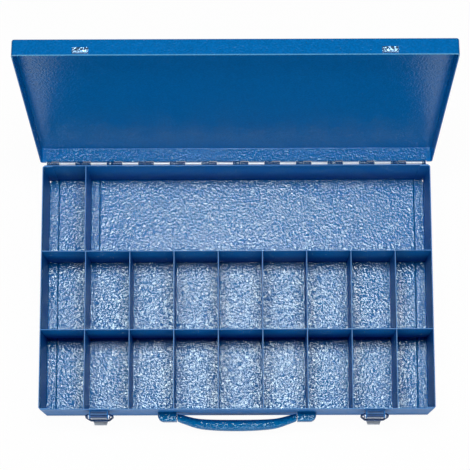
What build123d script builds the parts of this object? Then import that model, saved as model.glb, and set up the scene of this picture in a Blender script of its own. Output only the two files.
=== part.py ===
from build123d import *
import os
from math import asin, atan2, cos, degrees, hypot, radians, sin

os.makedirs("parts", exist_ok=True)

# Sheet metal and fits (mm)
sheet = 1.0            # wall of tray, dividers and lid
bend_r = 1.0           # inside radius of every fold
flange = 12.0          # lap of the end panels on floor and walls
foot = 10.0            # foot of the folded dividers
fit_gap = 0.1          # side clearance of parts that slot together
relief = 0.5           # cut-back beside another piece's fold

# Tray and its compartments
tray_w, tray_d, tray_h = 460.0, 290.0, 80.0
row_clear = 92.0       # clear depth of the front and the middle row
bin_clear = 51.0       # clear width of a small compartment
cross_count = 8
half_lap = tray_h / 2 + 0.5
small_clear = 50.0     # clear width of the back row's small compartment

# Piano hinge
hinge_w = 450.0
leaf_t = 1.0
pin_r = 1.25
bore_gap = 0.05
knuckle_r = 2.3
hinge_below = 6.0      # axis under the tray's top edge
hinge_gap = 0.6        # between the tray's rear face and the lid's leaf
group_pitch = 37.5
group_w = 18.5         # one lid knuckle and one tray knuckle
first_cut = 4.1        # strip cut off inside the first group
axial = 0.1
tray_leaf_d = 15.0

# Lid, built closed and turned open about the hinge
open_angle = 99.0
lid_depth = 19.0
lid_side = 2.0         # play beside and in front of the tray
lid_edge = 1.6         # rim above the hinge axis
lid_corner = 3.0
lid_bend = 2.0         # outside radius round the lid's top

# Toggle latches: out = distance from the tray's front face
latch_x = 161.0
base_t = 1.2
base_top, base_bottom = tray_h - 7.5, tray_h - 30.0
ear_in, ear_t = 9.7, 1.2
pivot_out, pivot_z = 6.6, tray_h - 15.0
pivot_r = 1.5
bail_out, bail_z = 5.0, pivot_z - 6.0
wire_r = 1.25
wire_sides = 12        # flats that stand for the wire's round along the loop
cheek_in, cheek_t = 11.3, 1.0
web_out = 7.6          # lever's outer face
lever_tip_z = bail_z - 24.5
leg_half = 15.4        # bail leg from the latch's middle
bar_half = 10.6
keeper_t = 0.8
keeper_w, keeper_h = 17.0, 7.5
hook_w = 15.6

# Carrying handle
handle_w = 186.0
block_w, block_d, block_h = 22.0, 11.0, 15.0
block_round = 7.0      # rounded outer end
block_edge = 1.6
block_top = tray_h - 32.0
swing_out, swing_r = 6.0, 5.0
swing_z = block_top - 7.0
stub_r = 2.0
grip_near, grip_far = 16.3, 31.5   # the bow's inner and outer edge, from the pivots
inner_flat, inner_run = 5.5, 24.5  # inner corners, from the bow's end
outer_flat = 3.0                   # outer corners, from the bow's end, and how far short of grip_far
elbow_run, elbow_dip = 27.5, 6.6
shoulder_run, shoulder_dip = 39.5, 2.8
crown_run, crown_dip = 54.5, 0.4
bow_round = 8.0
grip_edge = 2.4        # bevel round the bow
grip_lean = 20.0       # away from the front wall at rest
rivet_r, rivet_head_r, rivet_head_t = 1.6, 2.8, 1.2

half_w, half_d = tray_w / 2, tray_d / 2
front = -half_d


def bar(x, y, z):
    """Box between two values on each axis."""
    size = (x[1] - x[0], y[1] - y[0], z[1] - z[0])
    return Pos(x[0], y[0], z[0]) * Box(*size, align=(Align.MIN,) * 3)


def prism(face, plane, lo, hi):
    """Face drawn on a base plane, swept between two levels of its axis."""
    start = -hi if plane == Plane.XZ else lo
    return extrude(plane.offset(start) * face, amount=hi - lo, dir=plane.z_dir)


def folded(points, t=sheet, r=bend_r):
    """Profile of a sheet folded to the left along its outer line."""
    pts = [Vector(*p) for p in points]
    legs = [(b - a).normalized() for a, b in zip(pts, pts[1:])]
    inner = []
    for i, p in enumerate(pts):
        a, b = legs[max(i - 1, 0)], legs[min(i, len(legs) - 1)]
        n = Vector(-a.Y, a.X), Vector(-b.Y, b.X)
        inner.append(p + (n[0] + n[1]) * (t / (1 + n[0].dot(n[1]))))
    outer_line = FilletPolyline(*pts, radius=r + t)
    inner_line = FilletPolyline(*inner, radius=r)
    ends = Line(outer_line @ 0, inner_line @ 0), Line(outer_line @ 1, inner_line @ 1)
    return make_face([outer_line, inner_line, *ends])


def outline(*points):
    """Closed polygon."""
    return make_face(Polyline(*points, close=True))


def rod(axis_from, axis_to, r):
    """Round bar along X at (y, z)."""
    x0, y, z = axis_from
    return Pos(x0, y, z) * Rot(0, 90, 0) * Cylinder(
        r, axis_to - x0, align=(Align.CENTER, Align.CENTER, Align.MIN))


def disc(y, z, r):
    """Circle on the YZ plane."""
    return Pos(y, z) * Circle(r)


def edges_along(part, axis, test):
    """Edges parallel to an axis whose middle passes a test."""
    return [e for e in part.edges().filter_by(axis) if test(e.center())]


def near(a, b):
    """True where two values agree."""
    return abs(a - b) < 0.01


def at_front(out):
    """Y of a point this far out from the tray's front face."""
    return front - out


def save(name, part):
    """Write one node."""
    export_step(part, f"parts/{name}.step")


# Tray body: floor, front wall and rear wall in one folded sheet
body_half = half_w - bend_r - sheet
u_fold = folded([(-half_d, tray_h), (-half_d, 0), (half_d, 0), (half_d, tray_h)])
tray_shell = prism(u_fold, Plane.YZ, -body_half, body_half)
block_mid = handle_w / 2 - block_w / 2
rivet_x = [side * (block_mid + step) for side in (-1, 1) for step in (-4.0, 6.5)]
rivet_z = block_top - block_h + 3.0
for x in rivet_x:
    tray_shell -= Pos(x, front + sheet / 2, rivet_z) * Rot(90, 0, 0) * Cylinder(
        rivet_r + bore_gap, sheet * 2)
save("tray_shell", tray_shell)

# End panels: pans lapped on the floor and inside both walls
inner_d = half_d - sheet
lap_in = half_w - flange
wall_and_floor = folded([(lap_in, sheet), (half_w, sheet), (half_w, tray_h)])
wall_and_laps = folded([(lap_in, -inner_d), (half_w, -inner_d),
                        (half_w, inner_d), (lap_in, inner_d)])
corner = bend_r + sheet
end_panel = prism(wall_and_floor, Plane.XZ, -(inner_d - corner - sheet), inner_d - corner - sheet)
end_panel += prism(wall_and_laps, Plane.XY, sheet + corner, tray_h)
save("end_panel_right", end_panel)
save("end_panel_left", mirror(end_panel, Plane.YZ))

# Long dividers: the rear one stands on a foot, the front one is a plain plate
plate_half = half_w - sheet - fit_gap
front_div = front + sheet + row_clear
rear_div = front_div + sheet + row_clear
over_lap = 2 * sheet + fit_gap
end_cut = prism(outline((lap_in - relief, 0), (half_w, 0), (half_w, over_lap + bend_r),
                        (half_w - sheet, over_lap + bend_r), (half_w - corner - fit_gap, over_lap),
                        (lap_in - relief, over_lap)), Plane.XZ, -half_d, half_d)
rear_fold = folded([(rear_div, tray_h), (rear_div, sheet), (rear_div + foot, sheet)])
long_divider_rear = prism(rear_fold, Plane.YZ, -plate_half, plate_half)
long_divider_front = bar((-plate_half, plate_half), (front_div, front_div + sheet), (sheet, tray_h))
for cut in (end_cut, mirror(end_cut, Plane.YZ)):
    long_divider_rear -= cut
    long_divider_front -= cut

# Cross dividers, half-lapped with the front long divider
first_x = -half_w + sheet + bin_clear + sheet / 2
cross_x = [first_x + k * (bin_clear + sheet) for k in range(cross_count)]
lap_half = sheet / 2 + fit_gap
plate = outline((front + sheet + fit_gap + 1.2, sheet), (rear_div - fit_gap, sheet),
                (rear_div - fit_gap, tray_h), (front + sheet + fit_gap, tray_h),
                (front + sheet + fit_gap, sheet + 1.2))
lap_y = front_div + sheet / 2
lap_slot = bar((-sheet, sheet), (lap_y - lap_half, lap_y + lap_half), (0, half_lap))
cross_divider = prism(plate, Plane.YZ, -sheet / 2, sheet / 2) - lap_slot
for k, x in enumerate(cross_x):
    save(f"cross_divider_{k + 1}", Pos(x, 0, 0) * cross_divider)
    long_divider_front -= bar((x - lap_half, x + lap_half), (-half_d, 0), (half_lap, tray_h))
save("long_divider_rear", long_divider_rear)
save("long_divider_front", long_divider_front)

# Small divider of the back row, on its own foot
small_x = -half_w + small_clear + 2 * sheet
small_fold = folded([(small_x - sheet, tray_h), (small_x - sheet, sheet), (small_x + foot, sheet)])
small_divider = prism(small_fold, Plane.XZ, rear_div + sheet + fit_gap, inner_d - fit_gap)
past_foot = rear_div + foot + relief
past_fold = rear_div + sheet + bend_r + fit_gap
near_wall = inner_d - bend_r - relief
small_span = (small_x - foot, small_x + 2 * foot)
small_divider -= prism(outline((rear_div, 0), (past_foot, 0), (past_foot, over_lap), (past_fold, over_lap),
                               (rear_div + sheet, over_lap + bend_r), (rear_div, over_lap + bend_r)),
                       Plane.YZ, *small_span)
small_divider -= prism(outline((near_wall, 0), (half_d, 0), (half_d, sheet + corner),
                               (near_wall, sheet)), Plane.YZ, *small_span)
small_divider -= bar((small_x, small_span[1]), (near_wall, half_d), (0, sheet + corner))
save("small_divider", small_divider)

# Hinge knuckles: each group is a lid knuckle with a tray knuckle on its right
axis_y = half_d + hinge_gap + knuckle_r
axis_z = tray_h - hinge_below
hinge_half = hinge_w / 2
group_x = []
start = -hinge_half - first_cut
while start < hinge_half:
    group_x.append(start)
    start += group_pitch


def clip(x0, x1):
    """Span held inside the hinge strip, or None."""
    x0, x1 = max(x0, -hinge_half), min(x1, hinge_half)
    return (x0, x1) if x1 - x0 > 1 else None


lid_spans = [clip(x, x + group_w / 2 - axial) for x in group_x]
tray_spans = [clip(x + group_w / 2, x + group_w - axial) for x in group_x]
gap_spans = [clip(x + group_w + axial, x + group_pitch) for x in group_x]
lid_spans, tray_spans, gap_spans = ([s for s in spans if s]
                                    for spans in (lid_spans, tray_spans, gap_spans))


def knuckle(span, leaf_y, leaf_z, bore):
    """Rolled knuckle with the tongue that joins it to its leaf."""
    roll = rod((span[0], axis_y, axis_z), span[1], knuckle_r)
    tongue = bar(span, leaf_y, leaf_z)
    return roll + tongue - rod((span[0] - 1, axis_y, axis_z), span[1] + 1, bore)


notch = knuckle_r + 0.3
tray_leaf_y = (half_d, half_d + leaf_t)
lid_leaf_y = (half_d + hinge_gap, half_d + hinge_gap + leaf_t)
hinge_leaf_tray = bar((-hinge_half, hinge_half), tray_leaf_y,
                      (axis_z - notch - tray_leaf_d, axis_z - notch))
for span in tray_spans:
    hinge_leaf_tray += knuckle(span, tray_leaf_y, (axis_z - notch, axis_z), pin_r + bore_gap / 2)
save("hinge_leaf_tray", hinge_leaf_tray)

rim_z = axis_z + lid_edge
lid_top = rim_z + lid_depth
hinge_leaf_lid = bar((-hinge_half, hinge_half), lid_leaf_y,
                     (axis_z + notch, lid_top - lid_corner - fit_gap))
for span in lid_spans:
    hinge_leaf_lid += knuckle(span, lid_leaf_y, (axis_z, axis_z + notch), pin_r + bore_gap)
for span in gap_spans:
    hinge_leaf_lid += bar(span, lid_leaf_y, (rim_z + 0.3, axis_z + notch))

pin_end = hinge_half + axial
hinge_pin = rod((-pin_end, axis_y, axis_z), pin_end, pin_r)
for x0, x1 in ((-pin_end - 0.8, -pin_end), (pin_end, pin_end + 0.8)):
    hinge_pin += rod((x0, axis_y, axis_z), x1, pin_r + 0.6)
save("hinge_pin", hinge_pin)


def to_open(part):
    """Turn a piece of the closed lid to its open place."""
    return part.rotate(Axis((0, axis_y, axis_z), (1, 0, 0)), -open_angle)


# Lid: one drawn pan, its rear wall notched round the knuckles
lid_y = (front - lid_side - sheet, lid_leaf_y[1] + sheet)
lid_half = half_w + lid_side + sheet


def pan(grow, top, r):
    """Block with rounded corners and a rounded top, grown outwards."""
    x, y = lid_half + grow, (lid_y[0] - grow, lid_y[1] + grow)
    block = bar((-x, x), y, (rim_z, top))
    block = fillet(edges_along(block, Axis.Z, lambda c: True), r)
    return fillet(block.faces().sort_by(Axis.Z)[-1].edges(), r - lid_corner + lid_bend)


lid_shell = pan(0, lid_top, lid_corner) - pan(-sheet, lid_top - sheet, lid_corner - sheet)
for x in group_x:
    x0, x1 = max(x - 0.4, -hinge_half - 1.3), min(x + group_w + 0.3, hinge_half + 1.3)
    lid_shell -= bar((x0, x1), (lid_y[1] - sheet - 0.1, lid_y[1] + 1), (rim_z - 1, axis_z + notch))
save("lid_shell", to_open(lid_shell))
save("hinge_leaf_lid", to_open(hinge_leaf_lid))

# Keepers on the lid's front wall, each with a hook for the bail's bar
lid_out = lid_side + sheet
bar_out = lid_out + keeper_t + fit_gap + wire_r
bar_z = rim_z + 1.3 + fit_gap + wire_r + keeper_t
hook_r = wire_r + fit_gap + keeper_t
plate_z = (bar_z - hook_r, bar_z - hook_r + keeper_h)
hook = disc(at_front(bar_out), bar_z, hook_r) - disc(at_front(bar_out), bar_z, hook_r - keeper_t)
hook -= Pos(at_front(bar_out), bar_z + 5) * Rectangle(20, 10)
lip = Pos(at_front(bar_out + hook_r - keeper_t / 2), bar_z + 0.5) * Rectangle(keeper_t, 1)
neck = Pos(at_front(lid_out + keeper_t / 2), (bar_z + plate_z[1]) / 2) * Rectangle(
    keeper_t, plate_z[1] - bar_z)
keeper = prism(hook + lip + neck, Plane.YZ, -hook_w / 2, hook_w / 2)
for side in (-1, 1):
    wing = sorted((side * hook_w / 2, side * keeper_w / 2))
    keeper += bar(wing, (at_front(lid_out + keeper_t), at_front(lid_out)), plate_z)
keeper = fillet(edges_along(keeper, Axis.Y, lambda c: near(abs(c.X), keeper_w / 2)), 0.6)
for name, x in (("left", -latch_x), ("right", latch_x)):
    save(f"keeper_{name}", to_open(Pos(x, 0, 0) * keeper))

# Latch bases: a plate on the front wall with two folded ears
pivot_y = at_front(pivot_out)
ear_out = ear_in + ear_t
latch_base = bar((-ear_out, ear_out), (at_front(base_t), front), (base_bottom, base_top))
latch_base = fillet(edges_along(latch_base, Axis.Y, lambda c: near(c.Z, base_bottom)), 3)
ear_foot = (at_front(base_t), pivot_z - 5.0), (at_front(base_t), base_top - 1.5)
ear_face = make_hull([Line(*ear_foot), *disc(pivot_y, pivot_z, 2.8).edges()])
for side in (-1, 1):
    ear = prism(ear_face, Plane.YZ, *sorted((side * ear_in, side * ear_out)))
    latch_base += ear
latch_base -= rod((-ear_out - 1, pivot_y, pivot_z), ear_out + 1, pivot_r + bore_gap / 2)

# Latch pivots: rivets with low heads outside the lever's cheeks
cheek_out = cheek_in + cheek_t
pivot_end = cheek_out + 0.2
latch_pivot = rod((-pivot_end, pivot_y, pivot_z), pivot_end, pivot_r)
for x0, x1 in ((-pivot_end - 0.8, -pivot_end), (pivot_end, pivot_end + 0.8)):
    latch_pivot += rod((x0, pivot_y, pivot_z), x1, pivot_r + 1.6)

# Levers: a tapered channel with rounded cheeks and a curled lip
bail_y = at_front(bail_out)
taper = [(cheek_out, pivot_z + 4), (cheek_out, bail_z - 2), (9.3, lever_tip_z + 2.5), (9.3, lever_tip_z - 5)]


def tapered(inset):
    """Front outline of the lever, drawn in by the sheet."""
    right = [(x - inset, z) for x, z in taper]
    return outline(*right, *[(-x, z) for x, z in reversed(right)])


cheek = make_hull([*disc(pivot_y, pivot_z, 3.0).edges(), *disc(bail_y, bail_z, 2.6).edges()])
cheek += outline((at_front(web_out), pivot_z - 1), (at_front(3.4), pivot_z - 5), (at_front(3.0), bail_z - 4),
                 (at_front(web_out - 1.8), lever_tip_z + 2.5), (at_front(web_out), lever_tip_z + 2.5))
lever = prism(cheek, Plane.YZ, -cheek_out, cheek_out)
lever &= prism(tapered(0), Plane.XZ, at_front(20), front)
hollow = prism(tapered(cheek_t), Plane.XZ, at_front(20), front)
web_top = pivot_z - 5.5
lever -= hollow & bar((-20, 20), (at_front(web_out - cheek_t), front), (0, tray_h))
lever -= hollow & bar((-20, 20), (at_front(20), front), (web_top, tray_h))
lip_line = [(at_front(web_out - cheek_t), lever_tip_z + 2.6), (at_front(web_out - cheek_t), lever_tip_z),
            (at_front(14.0), lever_tip_z - 2.2)]
lip_outer = [Vector(*p) for p in reversed(lip_line)]
lip_face = folded([tuple(p)[:2] for p in lip_outer], cheek_t, 1.2)
lever_lip = prism(lip_face, Plane.YZ, -9.3, 9.3)
lip_plan = outline((-9.3, front), (9.3, front), (9.3, at_front(8.2)), (6.9, at_front(14.5)),
                   (-6.9, at_front(14.5)), (-9.3, at_front(8.2)))
lever += lever_lip & prism(lip_plan, Plane.XY, 0, tray_h)
lever -= rod((-20, pivot_y, pivot_z), 20, pivot_r + bore_gap)
lever -= rod((-20, bail_y, bail_z), 20, wire_r + 0.07)

# Bails: a wire loop whose ends turn in through the lever's cheeks
bail_len = hypot(bar_out - bail_out, bar_z - bail_z)
hang = asin((web_out + 0.3 + wire_r - bail_out) / bail_len)
loop = [(cheek_out, 0), (leg_half, 0), (leg_half, -8.5), (bar_half, -bail_len)]
loop += [(-x, z) for x, z in reversed(loop)]
bail_path = FilletPolyline(*[(x, 0, z) for x, z in loop], radius=2.6)
bail_end = Plane(origin=bail_path @ 0, z_dir=bail_path % 0)
latch_bail = sweep(bail_end * RegularPolygon(wire_r, wire_sides), path=bail_path)
for x0, x1 in ((cheek_in - 0.3, leg_half - 2.6), (2.6 - leg_half, 0.3 - cheek_in)):
    latch_bail += rod((x0, 0, 0), x1, wire_r)
latch_bail = Pos(0, bail_y, bail_z) * Rot(-degrees(hang), 0, 0) * latch_bail

for name, x in (("left", -latch_x), ("right", latch_x)):
    save(f"latch_base_{name}", Pos(x, 0, 0) * latch_base)
    save(f"latch_lever_{name}", Pos(x, 0, 0) * lever)
    save(f"latch_bail_{name}", Pos(x, 0, 0) * latch_bail)
save("latch_pivots", Compound([Pos(x, 0, 0) * latch_pivot for x in (-latch_x, latch_x)]))

# Handle blocks on the front wall
swing_y = at_front(swing_out)
stub_in, stub_len = 4.5, 14.0
block = bar((-block_w / 2, block_w / 2), (at_front(block_d), front), (block_top - block_h, block_top))
block = fillet(edges_along(block, Axis.Z, lambda c: c.X > 0 and near(c.Y, at_front(block_d))), block_round)
block = chamfer(block.faces().sort_by(Axis.Z)[-1].edges().filter_by(
    lambda e: e.center().Y < at_front(0.1) and e.center().X > -block_w / 2 + 0.1), block_edge)
inner_x = block_mid - block_w / 2
grip_half = inner_x - 0.5
stub_span = (grip_half - stub_in, inner_x + stub_len)
stub = rod((stub_span[0], swing_y, swing_z), stub_span[1], stub_r)
right_block = Pos(block_mid, 0, 0) * block
right_block -= rod((inner_x - 1, swing_y, swing_z), stub_span[1], stub_r + bore_gap / 2)
rivet_len = 5.0
rivet = Pos(0, front + sheet, rivet_z) * Rot(90, 0, 0) * Cylinder(
    rivet_r, sheet + rivet_len, align=(Align.CENTER, Align.CENTER, Align.MIN))
rivet += Pos(0, front + sheet, rivet_z) * Rot(-90, 0, 0) * Cone(
    rivet_head_r, rivet_r, rivet_head_t, align=(Align.CENTER, Align.CENTER, Align.MIN))
for x in rivet_x:
    right_block -= Pos(x, front, rivet_z) * Rot(90, 0, 0) * Cylinder(
        rivet_r + bore_gap / 2, rivet_len, align=(Align.CENTER, Align.CENTER, Align.MIN))
save("handle_block_right", right_block)
save("handle_block_left", mirror(right_block, Plane.YZ))
save("handle_rivets", Compound([Pos(x, 0, 0) * rivet for x in rivet_x]))
save("handle_stubs", Compound([stub, mirror(stub, Plane.YZ)]))

# Handle grip: a moulded bow, drawn flat from pivot to pivot and hung at its resting lean
near_side = [(grip_half, -swing_r), (grip_half - inner_flat, -swing_r), (grip_half - inner_run, grip_near)]
far_side = [(grip_half, swing_r), (grip_half - outer_flat, swing_r),
            (grip_half - elbow_run, grip_far - elbow_dip), (grip_half - shoulder_run, grip_far - shoulder_dip),
            (grip_half - crown_run, grip_far - crown_dip)]
near_line, far_line = (FilletPolyline(*side, *[(-x, y) for x, y in reversed(side)], radius=bow_round)
                       for side in (near_side, far_side))
ends = [Line((x, -swing_r), (x, swing_r)) for x in (-grip_half, grip_half)]
bow = make_face([near_line, far_line, *ends])
handle_grip = extrude(bow, amount=swing_r, both=True)
handle_grip = chamfer([e for e in handle_grip.edges() if near(abs(e.center().Z), swing_r)
                       and abs(e.center().X) < grip_half - 0.1], grip_edge)
for x in (-grip_half - 1, stub_span[0] - 0.2):
    handle_grip -= rod((x, 0, 0), x + stub_in + 1.2, stub_r + bore_gap)
save("handle_grip", Pos(0, swing_y, swing_z) * Rot(-90 - grip_lean, 0, 0) * handle_grip)

print("lid axis", axis_y, axis_z, "latch pivot", pivot_y, pivot_z, "bail pivot", bail_y, bail_z)
bail_turn = 90 + degrees(atan2(bar_z - bail_z, bar_out - bail_out)) - degrees(hang)
print("bail turn", round(bail_turn, 2), "handle pivot", swing_y, swing_z, "groups", len(group_x))
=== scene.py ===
from math import cos, radians, sin

import bpy
from mathutils import Matrix, Vector


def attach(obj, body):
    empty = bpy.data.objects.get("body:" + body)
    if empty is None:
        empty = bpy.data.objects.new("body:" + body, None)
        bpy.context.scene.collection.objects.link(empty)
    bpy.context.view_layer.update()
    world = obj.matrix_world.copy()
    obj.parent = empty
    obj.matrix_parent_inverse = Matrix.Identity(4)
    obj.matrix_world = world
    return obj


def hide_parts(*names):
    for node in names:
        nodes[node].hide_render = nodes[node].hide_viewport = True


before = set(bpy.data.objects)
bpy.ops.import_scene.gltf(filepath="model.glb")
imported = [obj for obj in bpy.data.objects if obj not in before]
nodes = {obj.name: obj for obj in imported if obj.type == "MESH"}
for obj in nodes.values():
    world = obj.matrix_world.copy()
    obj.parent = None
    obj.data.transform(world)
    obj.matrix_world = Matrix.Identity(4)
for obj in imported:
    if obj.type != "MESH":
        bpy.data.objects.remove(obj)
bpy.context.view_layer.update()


# Tray body: floor, front wall and rear wall folded from one steel sheet, closed
# by a lapped end panel on each side. The panels are spot-welded, and everything
# is sprayed with a glossy hammered enamel that dries into small shining cells.
class Term:
    """A socket that takes Python's arithmetic and adds Math nodes for it."""

    def __init__(self, finish, socket):
        self.finish, self.socket = finish, socket

    def math(self, kind, a, b):
        return self.finish.node("ShaderNodeMath", {"operation": kind}, {0: a, 1: b})

    def __add__(self, other):
        return self.math("ADD", self, other)

    def __radd__(self, other):
        return self.math("ADD", other, self)

    def __sub__(self, other):
        return self.math("SUBTRACT", self, other)

    def __rsub__(self, other):
        return self.math("SUBTRACT", other, self)

    def __mul__(self, other):
        return self.math("MULTIPLY", self, other)

    def __rmul__(self, other):
        return self.math("MULTIPLY", other, self)


class Finish:
    """A material, or the world, whose nodes are written as Python expressions."""

    def __init__(self, block, shader="Principled BSDF", **constants):
        block.use_nodes = True
        self.block, self.tree = block, block.node_tree
        self.shader = self.tree.nodes[shader]
        for socket, value in constants.items():
            self.shader.inputs[socket.replace("_", " ")].default_value = value

    def node(self, kind, settings, inputs, out=0):
        """Add a node: settings first, then the values or links of its sockets."""
        made = self.tree.nodes.new(kind)
        for key, value in settings.items():
            setattr(made, key, value)
        for key, value in inputs.items():
            if isinstance(value, Term):
                self.tree.links.new(value.socket, made.inputs[key])
            else:
                made.inputs[key].default_value = value
        return Term(self, made.outputs[out])

    def place(self):
        return self.node("ShaderNodeTexCoord", {}, {}, "Object")

    def along(self, axis):
        return self.node("ShaderNodeSeparateXYZ", {}, {0: self.place()}, axis)

    def absolute(self, value):
        return self.node("ShaderNodeMath", {"operation": "ABSOLUTE"}, {0: value})

    def span(self, value, low, high, to_low=0.0, to_high=1.0):
        return self.node("ShaderNodeMapRange", {"interpolation_type": "SMOOTHSTEP"}, {
            0: value, 1: low, 2: high, 3: to_low, 4: to_high})

    def height_above(self, low, high, to_low, to_high):
        """A value that changes from one level to another between two heights."""
        return self.span(self.along("Z"), low, high, to_low, to_high)

    def line_at(self, value, middle, half):
        """1 where a coordinate passes a value, falling to 0 on both sides."""
        return self.span(self.absolute(value - middle), 0.0, half, 1.0, 0.0)

    def noise(self, size, detail=2.0):
        """Soft noise whose blobs are about this size, in metres."""
        return self.node("ShaderNodeTexNoise", {}, {
            "Vector": self.place(), "Scale": 1 / size, "Detail": detail}, "Fac")

    def stretch(self, noise, low, high):
        """A noise keeps mostly between 0.3 and 0.7, and here fills a range."""
        return self.span(noise, 0.3, 0.7, low, high)

    def mix(self, factor, a, b):
        return self.node("ShaderNodeMix", {"data_type": "RGBA"}, {0: factor, 6: a, 7: b}, 2)

    def bump(self, height, depth):
        return self.node("ShaderNodeBump", {}, {"Height": height, "Distance": depth})

    def feed(self, **links):
        for socket, value in links.items():
            self.tree.links.new(value.socket, self.shader.inputs[socket.replace("_", " ")])

    def onto(self, *names):
        for name in names:
            mesh = nodes[name].data
            mesh.materials.clear()
            mesh.materials.append(self.block)


# Heights at which the look of the floors ends and that of the walls begins
floors_to, walls_from = 0.003, 0.009


def hammered(name, deep, pale, cell, depth, gloss, hung=0.0):
    """Hammered enamel: wandering cells of one size with crinkled rims, and colour
    that pools over five cells or so. Walls dry duller and smoother than floors by
    the share that hung says. Marks that lie on the enamel start from its coat, the
    colour, and its relief, the height."""
    paint = Finish(bpy.data.materials.new(name),
                   Specular_IOR_Level=0.52, Specular_Tint=(0.84, 1.0, 0.95, 1))
    drift = paint.node("ShaderNodeTexNoise", {}, {
        "Vector": paint.place(), "Scale": 0.45 / cell, "Detail": 1.0}, "Color")
    at = paint.node("ShaderNodeMix", {"data_type": "RGBA", "blend_type": "LINEAR_LIGHT"}, {
        0: cell * 0.9, 6: paint.place(), 7: drift}, 2)
    cells = paint.node("ShaderNodeTexVoronoi", {"feature": "SMOOTH_F1"}, {
        "Vector": at, "Scale": 1 / cell, "Smoothness": 0.6}, "Distance")
    pools = paint.noise(cell * 5)
    paint.coat = paint.mix(paint.span(cells + pools * 0.4, 0.35, 0.95), deep, pale)
    paint.relief = (cells * 0.6 + paint.noise(cell, 0.6) * 0.9) * paint.height_above(
        floors_to, walls_from, 1.0, 1.0 - hung)
    paint.feed(Base_Color=paint.coat,
               Roughness=paint.stretch(pools, gloss, gloss + 0.04)
               + paint.height_above(floors_to, walls_from, 0.0, 0.5 * hung),
               Normal=paint.bump(paint.relief, depth))
    return paint


deep_blue, mid_blue = (0.0, 0.14, 0.43, 1), (0.0, 0.17, 0.53, 1)
cell_size, crinkle, wet_gloss = 0.0021, 0.00045, 0.03
enamel = hammered("hammered_blue_enamel", deep_blue, mid_blue, cell_size, crinkle, wet_gloss,
                  hung=0.75)

# Seams of the tray: the end panels' floor laps, and the small divider's foot from
# the rear long divider's foot back, end in a step one sheet high. Along each step
# a thin groove is bumped into the enamel, and a thin dark line of painted shade
# is laid into its colour.
seam_half, seam_depth, seam_shade_blue = 0.001, 1.8, (0.0, 0.11, 0.36, 1)
lap_top, past_long_foot, fade = 0.0021, 0.009, 0.0005
lap_edge = min(corner[0] for corner in nodes["end_panel_right"].bound_box)
foot_edge = max(corner[0] for corner in nodes["small_divider"].bound_box)
foot_from = min(corner[1] for corner in nodes["small_divider"].bound_box) + past_long_foot
beside_laps = enamel.line_at(enamel.absolute(enamel.along("X")), lap_edge - 0.5 * seam_half,
                             seam_half)
beside_foot = enamel.line_at(enamel.along("X"), foot_edge + 0.5 * seam_half, seam_half)
along_foot = enamel.span(enamel.along("Y"), foot_from, foot_from + fade)
seam_shade_and_groove = (beside_laps + beside_foot * along_foot) * enamel.height_above(
    lap_top, lap_top + fade, 1.0, 0.0)
# The dark line along the steps is painted shade; the groove is only in the bump
enamel.feed(Base_Color=enamel.mix(seam_shade_and_groove, enamel.coat, seam_shade_blue),
            Normal=enamel.bump(enamel.relief - seam_shade_and_groove * seam_depth, crinkle))
enamel.onto("tray_shell", "end_panel_left", "end_panel_right")

# Dividers: two long plates and eight cross plates, half-lapped where they meet,
# and a short plate that parts the back row. Plain sheet, tacked to the floor and
# sprayed in place together with the tray.
cross_dividers = [name for name in nodes if name.startswith("cross_divider_")]
enamel.onto("long_divider_rear", "long_divider_front", "small_divider", *cross_dividers)

# Lid: one shallow pressed pan that closes over the tray like a cap. Its corners
# are drawn round and its rim is cut plain. It wears the same enamel, with a painted
# highlight, a paler blue, along the cut of the rim in front.
open_angle, rim_gap, rim_highlight_reach = radians(99), 0.0016, 0.0011
front_strip, front_fade, rim_highlight_blue = 0.012, 0.004, (0.11, 0.40, 0.70, 1)
pin = [Vector(corner) for corner in nodes["hinge_pin"].bound_box]
hinge_axis = sum(pin, Vector()) / len(pin)
into_lid = Vector((0, sin(open_angle), cos(open_angle)))
rim = into_lid.dot(hinge_axis) + rim_gap
front_from = max(corner[2] for corner in nodes["lid_shell"].bound_box) - front_strip
lid_paint = hammered("hammered_lid_enamel", deep_blue, mid_blue, cell_size, crinkle, wet_gloss,
                     hung=0.3)
into_depth = lid_paint.node("ShaderNodeVectorMath", {"operation": "DOT_PRODUCT"}, {
    0: lid_paint.place(), 1: into_lid}, "Value")
# Painted highlight: a paler blue within about a millimetre of the front rim's cut
past_rim_highlight = lid_paint.span(into_depth, rim + 0.6 * rim_highlight_reach, rim + rim_highlight_reach)
rim_highlight = (1 - past_rim_highlight) * lid_paint.height_above(front_from, front_from + front_fade, 0.0, 1.0)
lid_paint.feed(Base_Color=lid_paint.mix(rim_highlight, lid_paint.coat, rim_highlight_blue))
lid_paint.onto("lid_shell")


# Piano hinge: two thin leaves rolled into knuckles round one long steel pin. The
# leaves are welded to the lid's and the tray's rear walls and sprayed with them.
# The knuckles and the tray's leaf carry a darker blue of painted shade.
def metal(name, dark, pale, blotch, grain, smooth, dull, metallic=1.0, detail=2.0):
    """Bare or plated metal: its colour wanders in blotches of one size, and its
    roughness in a grain of another."""
    plate = Finish(bpy.data.materials.new(name), Metallic=metallic)
    plate.feed(Base_Color=plate.mix(plate.noise(blotch, detail), dark, pale),
               Roughness=plate.stretch(plate.noise(grain), smooth, dull))
    return plate


knuckle_end, knuckle_shade_fade, knuckle_shade_blue = hinge_axis.y + 0.0022, 0.0008, (0.0, 0.045, 0.16, 1)
leaf_paint = hammered("hammered_leaf_paint", deep=(0.0, 0.12, 0.38, 1), pale=(0.0, 0.16, 0.48, 1),
                      cell=0.0022, depth=0.0006, gloss=0.06)
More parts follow.
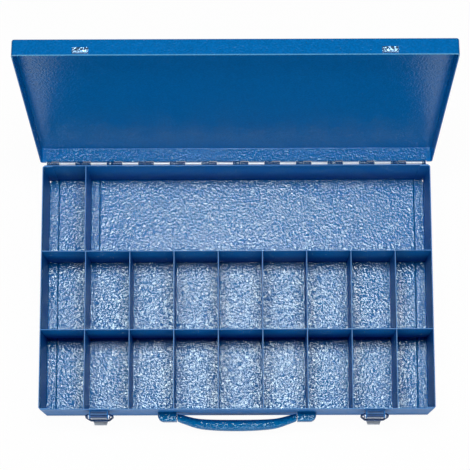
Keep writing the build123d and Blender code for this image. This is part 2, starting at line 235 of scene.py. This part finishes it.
# Painted shade: a darker blue up to just behind the hinge axis, on the knuckles and the tray's leaf
knuckle_shade = leaf_paint.span(leaf_paint.along("Y"), knuckle_end, knuckle_end + knuckle_shade_fade, 1.0, 0.0)
leaf_paint.feed(Base_Color=leaf_paint.mix(knuckle_shade, leaf_paint.coat, knuckle_shade_blue))
leaf_paint.onto("hinge_leaf_tray", "hinge_leaf_lid")
pin_steel = metal("turned_steel", dark=(0.80, 0.84, 0.86, 1), pale=(0.90, 0.93, 0.94, 1),
                  blotch=0.004, grain=0.0025, smooth=0.45, dull=0.6)
pin_steel.onto("hinge_pin")

# Keepers: small folded plates on the lid's front wall. Each carries the hook that
# the latch's wire pulls on, and is plated pale, so it stands out from the enamel.
keeper_plate = metal("pale_zinc", dark=(0.10, 0.27, 0.52, 1), pale=(0.36, 0.56, 0.80, 1),
                     blotch=0.002, grain=0.0015, smooth=0.25, dull=0.4, metallic=0.9)
dent_size, dent_depth = 0.002, 0.001
keeper_plate.feed(Normal=keeper_plate.bump(keeper_plate.noise(dent_size, detail=0.5), dent_depth))
keeper_plate.onto("keeper_left", "keeper_right")

# Toggle latches: a sprayed base plate with two ears, a plated lever pressed from
# sheet, and a blued wire bail whose ends turn in through the lever's cheeks. The
# pivot rivets are blued as well.
enamel.onto("latch_base_left", "latch_base_right")
lever_steel = metal("dull_zinc", dark=(0.50, 0.57, 0.68, 1), pale=(0.66, 0.72, 0.82, 1),
                    blotch=0.004, grain=0.002, smooth=0.4, dull=0.55, detail=3)
lever_steel.onto("latch_lever_left", "latch_lever_right")
blued = metal("blued_wire", dark=(0.02, 0.05, 0.13, 1), pale=(0.06, 0.11, 0.24, 1),
              blotch=0.003, grain=0.002, smooth=0.4, dull=0.55)
blued.onto("latch_bail_left", "latch_bail_right", "latch_pivots")

# Handle blocks: two cast blocks riveted through the front wall. Each holds a steel
# stub, and they were sprayed together with the tray. Rivets and stubs are zinc bright.
handle_paint = hammered("hammered_handle_paint", deep=(0.0, 0.12, 0.34, 1), pale=(0.0, 0.17, 0.44, 1),
                        cell=0.0024, depth=0.0009, gloss=0.05)
handle_paint.onto("handle_block_left", "handle_block_right")
zinc = metal("bright_zinc", dark=(0.42, 0.44, 0.47, 1), pale=(0.60, 0.61, 0.63, 1),
             blotch=0.0055, grain=0.0025, smooth=0.18, dull=0.32, detail=3)
zinc.onto("handle_rivets", "handle_stubs")

# Handle grip: a moulded bow, round in section and thickest in the middle. It swings
# on the stubs, hangs leaning a little away from the wall, and is painted blue.
stubs = [Vector(corner) for corner in nodes["handle_stubs"].bound_box]
pivot = sum(stubs, Vector()) / len(stubs)
reach = max(corner[0] for corner in nodes["handle_grip"].bound_box)
bow_lean, round_sides, smoothings = radians(20), 16, 2
# Each ring: how far in from the bow's end, how far out from the pivots, half height, half thickness
half_bow = [
    (0, 0.0003, 0.0044, 0.0040), (0.0012, 0.0012, 0.0054, 0.0048), (0.006, 0.0048, 0.0057, 0.0051),
    (0.0125, 0.0098, 0.0060, 0.0054), (0.019, 0.0147, 0.0064, 0.0057), (0.027, 0.0189, 0.0067, 0.0062),
    (0.040, 0.0213, 0.0070, 0.0065), (0.055, 0.0225, 0.0073, 0.0068), (reach, 0.0228, 0.0074, 0.0069)]
rings = [(reach - inset, *rest) for inset, *rest in half_bow]
rings += [(-x, *rest) for x, *rest in reversed(rings[:-1])]
bpy.ops.object.select_all(action="DESELECT")
bpy.ops.mesh.primitive_circle_add(vertices=round_sides, radius=1, fill_type="NGON",
                                  rotation=(0, radians(90), 0))
grip = bpy.context.object
grip.name = "grip_bow"
bpy.ops.object.transform_apply(location=False, rotation=True, scale=False)
bpy.ops.object.mode_set(mode="EDIT")
bpy.ops.mesh.select_all(action="SELECT")
x, out, tall, thick = rings[0]
bpy.ops.transform.resize(value=(1, tall, thick), center_override=(0, 0, 0))
bpy.ops.transform.translate(value=(x, out, 0))
for next_x, next_out, next_tall, next_thick in rings[1:]:
    bpy.ops.mesh.extrude_region_move(TRANSFORM_OT_translate={"value": (next_x - x, next_out - out, 0)})
    bpy.ops.transform.resize(value=(1, next_tall / tall, next_thick / thick),
                             center_override=(next_x, next_out, 0))
    x, out, tall, thick = next_x, next_out, next_tall, next_thick
bpy.ops.mesh.select_all(action="SELECT")
bpy.ops.transform.rotate(value=radians(90) + bow_lean, orient_axis="X", center_override=(0, 0, 0))
bpy.ops.transform.translate(value=(0, pivot.y, pivot.z))
bpy.ops.mesh.normals_make_consistent(inside=False)
bpy.ops.object.mode_set(mode="OBJECT")
bpy.ops.object.shade_smooth()
rounding = grip.modifiers.new("rounding", "SUBSURF")
rounding.levels = rounding.render_levels = smoothings
bpy.ops.object.modifier_apply(modifier="rounding")
grip.data.materials.append(handle_paint.block)
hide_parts("handle_grip")
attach(grip, "handle")

# Studio floor: a wide sheet of matt white paper that the case stands on. It glows
# white to the camera and faintly in reflections, and still takes a soft shadow.
floor_size, floor_gap = 12, 0.0002
glow_seen, glow_mirrored = 0.97, 0.1
bpy.ops.object.select_all(action="DESELECT")
bpy.ops.mesh.primitive_plane_add(size=floor_size, location=(0, 0, -floor_gap))
floor = bpy.context.object
floor.name = "studio_floor"
paper = Finish(bpy.data.materials.new("studio_paper"),
               Roughness=0.9, Base_Color=(0.93, 0.93, 0.93, 1))
to_camera = paper.node("ShaderNodeLightPath", {}, {}, "Is Camera Ray")
in_gloss = paper.node("ShaderNodeLightPath", {}, {}, "Is Glossy Ray")
glow = paper.node("ShaderNodeEmission", {}, {"Color": (1, 1, 1, 1), "Strength": 1.0})
sheet = paper.node("ShaderNodeMixShader", {}, {
    0: to_camera * glow_seen + in_gloss * glow_mirrored,
    1: Term(paper, paper.shader.outputs[0]), 2: glow})
paper.tree.links.new(sheet.socket, paper.tree.nodes["Material Output"].inputs[0])
floor.data.materials.append(paper.block)

# Studio light: one softbox close overhead, which the glossy floors of the tray
# mirror, and a weak wide one in front. The room is white to the camera, but lights
# the case hardly at all.
room_light = 0.012
room = Finish(bpy.data.worlds.new("studio"), "Background", Color=(1, 1, 1, 1))
looked_at = room.node("ShaderNodeLightPath", {}, {}, "Is Camera Ray")
room.feed(Strength=room_light + looked_at * (1 - room_light))
bpy.context.scene.world = room.block


def softbox(name, place, aim, size, power):
    """A rectangular softbox aimed at a point."""
    lamp = bpy.data.lights.new(name, "AREA")
    lamp.shape, lamp.energy = "RECTANGLE", power
    lamp.size, lamp.size_y = size
    box = bpy.data.objects.new(name, lamp)
    box.location = place
    box.rotation_euler = (Vector(aim) - Vector(place)).to_track_quat("-Z", "Y").to_euler()
    bpy.context.scene.collection.objects.link(box)


softbox("overhead", place=(0, 0.22, 2.2), aim=(0, 0, 0), size=(0.95, 0.42), power=32)
softbox("front_fill", place=(0, -1.7, 0.8), aim=(0, 0.1, 0.15), size=(1.6, 0.5), power=13)

# Camera: nearly straight above and a little in front, turned and rolled by about
# one degree each, with a long lens.
spot, heading, roll = (0.0059, -0.338, 2.1686), radians(1.101), radians(-1.256)
tilt = radians(90 - 79.205)
camera = bpy.data.cameras.new("camera")
camera.lens, camera.sensor_width, camera.clip_end = 138.26, 36, 20
view = bpy.data.objects.new("camera", camera)
view.matrix_world = (Matrix.Translation(spot) @ Matrix.Rotation(heading, 4, "Z")
                     @ Matrix.Rotation(tilt, 4, "X") @ Matrix.Rotation(roll, 4, "Z"))
bpy.context.scene.collection.objects.link(view)
bpy.context.scene.camera = view
bpy.context.scene.view_settings.view_transform = "Standard"
